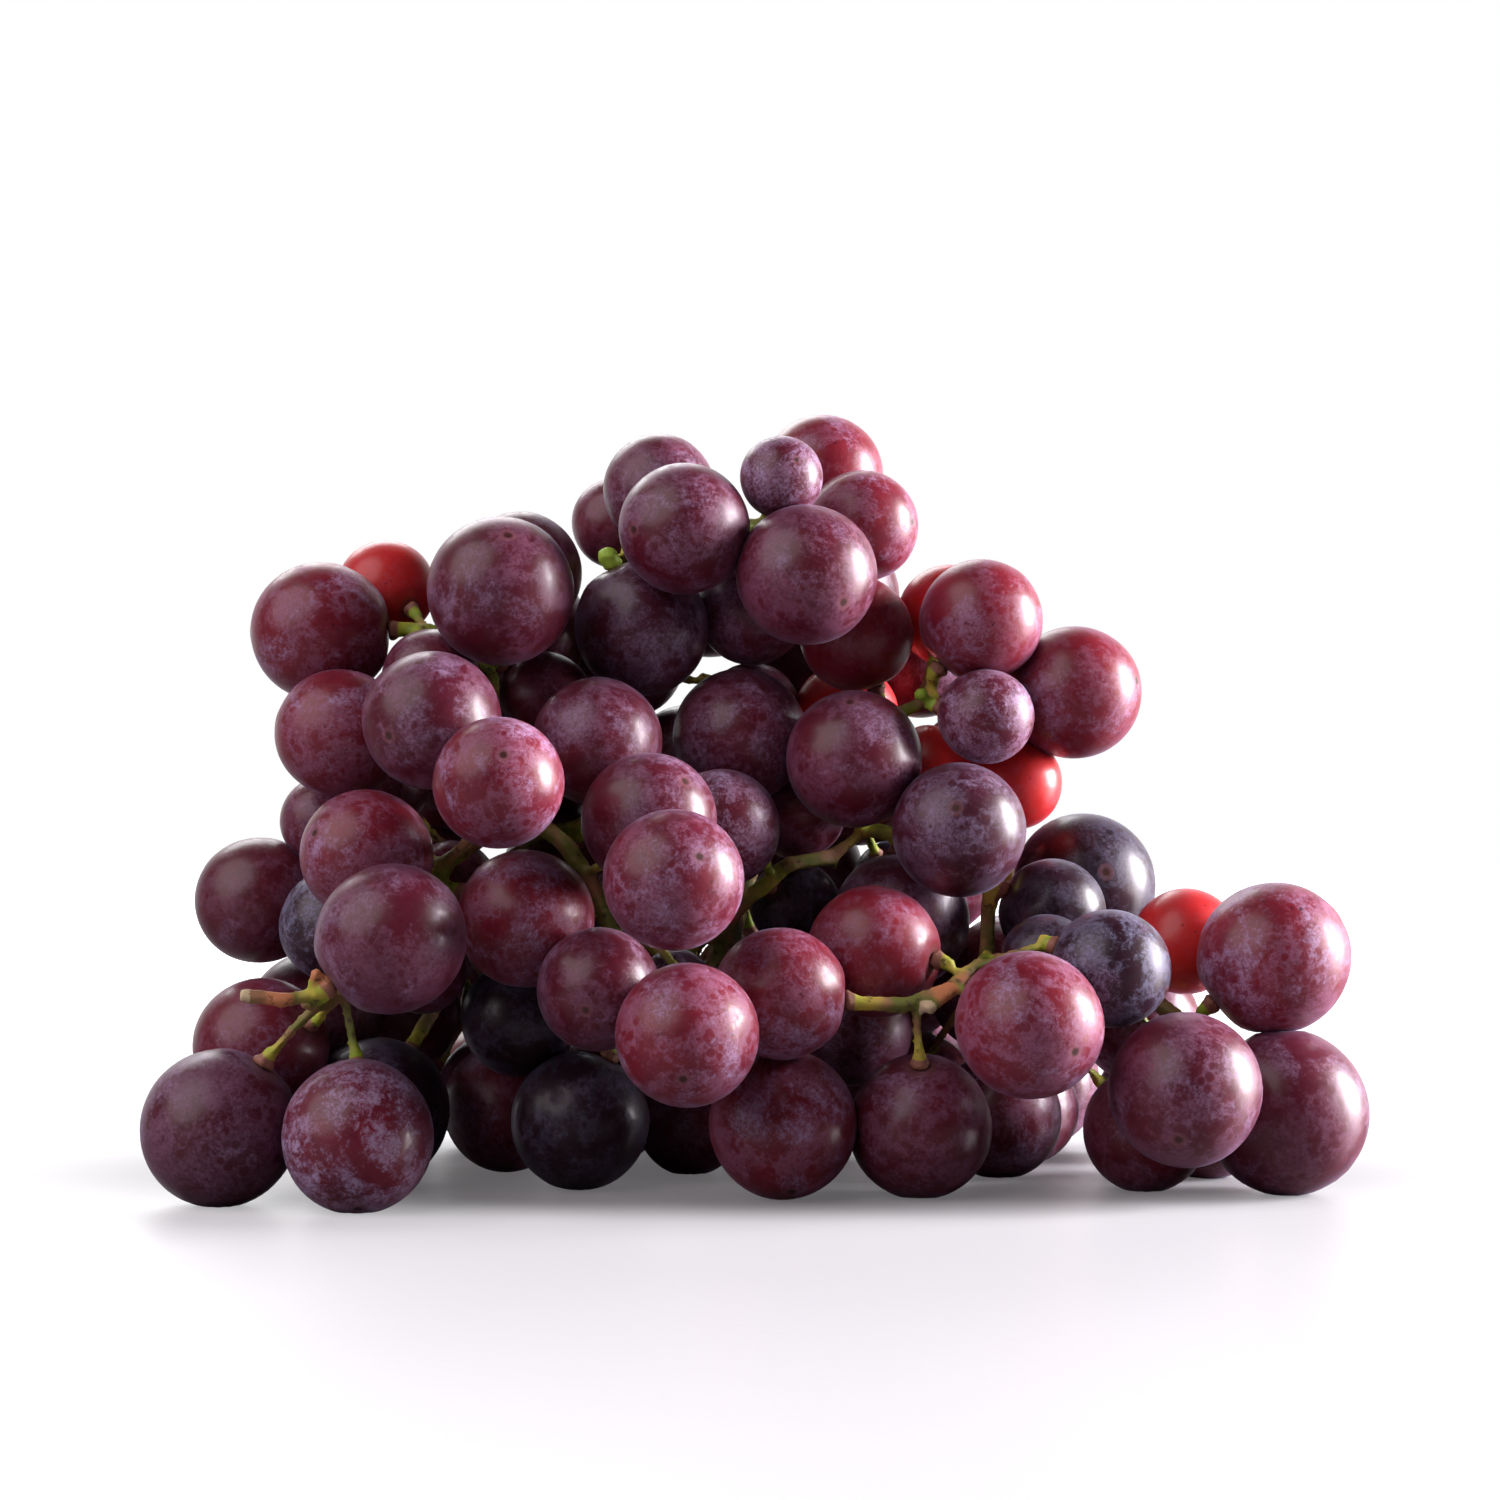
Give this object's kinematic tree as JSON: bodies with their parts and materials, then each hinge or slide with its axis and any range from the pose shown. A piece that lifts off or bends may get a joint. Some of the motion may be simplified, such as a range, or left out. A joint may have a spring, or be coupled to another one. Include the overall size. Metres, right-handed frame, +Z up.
{
  "type": "bunch of grapes",
  "caption": "Bunch of large red-purple table grapes lying on its side, its berries in sprays on a branching green stem with a cut stalk end at the back.",
  "frame": {"origin": "middle of the bunch's footprint, on the surface that it lies on", "axes": "+Z up, +X along the bunch's width, to the right seen from its front, +Y towards its back, where the stalk's cut end is"},
  "size_m": [0.1852, 0.1388, 0.124],
  "materials": {
    "berry_skin": "satin, with patches of pale waxy bloom",
    "stem": "matt"
  },
  "bodies": {
    "root": {"stem": "stem", "berries_crown": "berry_skin", "berries_right_shoulder": "berry_skin", "berries_heart": "berry_skin", "berries_left_shoulder": "berry_skin", "berries_left_breast": "berry_skin", "berries_left_flank": "berry_skin", "berries_lap": "berry_skin", "berries_skirt": "berry_skin", "berries_right_flank": "berry_skin", "berries_right_wing": "berry_skin", "berries_left_foot": "berry_skin", "berries_core_low_left": "berry_skin", "berries_core_low_right": "berry_skin", "berries_back_low_left": "berry_skin", "berries_back_low_right": "berry_skin", "berries_back_middle_left": "berry_skin", "berries_back_middle_right": "berry_skin", "berries_back_top_left": "berry_skin", "berries_back_top_right": "berry_skin"}
  },
  "joints": []
}
